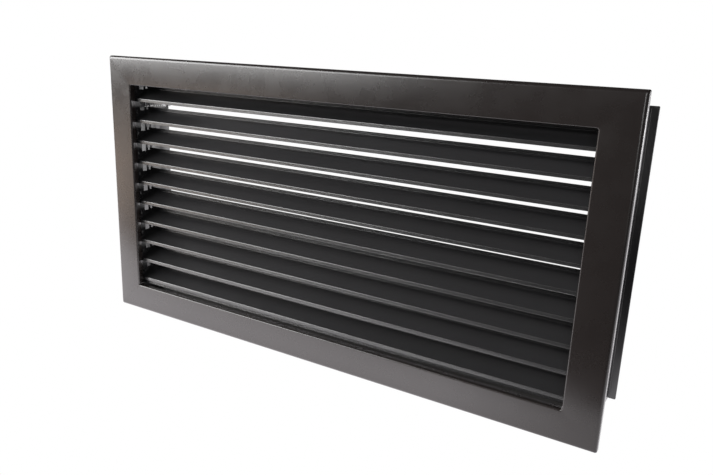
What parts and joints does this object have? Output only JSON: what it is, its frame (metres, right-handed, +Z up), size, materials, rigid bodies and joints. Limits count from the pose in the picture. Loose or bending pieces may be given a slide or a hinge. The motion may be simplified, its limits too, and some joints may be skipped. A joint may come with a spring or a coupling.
{
  "type": "louvred air grille",
  "caption": "Rectangular wall grille of fixed sloping louvre blades in a flat flange, held in a deep wall frame by tension springs so that the front pulls out.",
  "frame": {"origin": "centre of the grille in the plane of the wall, level with the back edge of the flange", "axes": "+X to the right along the blades as seen from the room, +Y into the wall, +Z up"},
  "size_m": [0.61, 0.0825, 0.315],
  "materials": {
    "flange": "satin black powder coat, fine and even",
    "blade": "satin black powder coat on extruded profile",
    "holder": "black powder coat on pressed sheet",
    "wall_frame": "black powder coat on folded sheet",
    "fastener": "bare alloy rivets and pegs",
    "spring": "zinc plated spring wire"
  },
  "bodies": {
    "wall_frame": {"wall_frame_left": "wall_frame", "wall_frame_right": "wall_frame", "wall_frame_top": "wall_frame", "wall_frame_bottom": "wall_frame", "corner_angle_top_left": "wall_frame", "corner_angle_top_right": "wall_frame", "corner_angle_bottom_left": "wall_frame", "corner_angle_bottom_right": "wall_frame", "rivet_top_left_side": "fastener", "rivet_top_left_end": "fastener", "rivet_top_right_side": "fastener", "rivet_top_right_end": "fastener", "rivet_bottom_left_side": "fastener", "rivet_bottom_left_end": "fastener", "rivet_bottom_right_side": "fastener", "rivet_bottom_right_end": "fastener", "spring_peg_upper_left": "fastener", "spring_peg_upper_right": "fastener", "spring_peg_lower_left": "fastener", "spring_peg_lower_right": "fastener", "spring_upper_left": "spring", "spring_upper_right": "spring", "spring_lower_left": "spring", "spring_lower_right": "spring"},
    "grille": {"flange": "flange", "blade_01": "blade", "blade_02": "blade", "blade_03": "blade", "blade_04": "blade", "blade_05": "blade", "blade_06": "blade", "blade_07": "blade", "blade_08": "blade", "blade_09": "blade", "blade_10": "blade", "blade_holder_left": "holder", "blade_holder_right": "holder", "bottom_rail": "blade", "top_rail": "blade"}
  },
  "joints": [
    {"name": "grille_pull", "type": "slide", "parent": "wall_frame", "child": "grille", "axis": [0, -1, 0], "range_m": [0, 0.03], "stiffness_N_per_m": 600, "springref_m": -0.02, "deforming": ["spring_upper_left", "spring_upper_right", "spring_lower_left", "spring_lower_right"]}
  ]
}
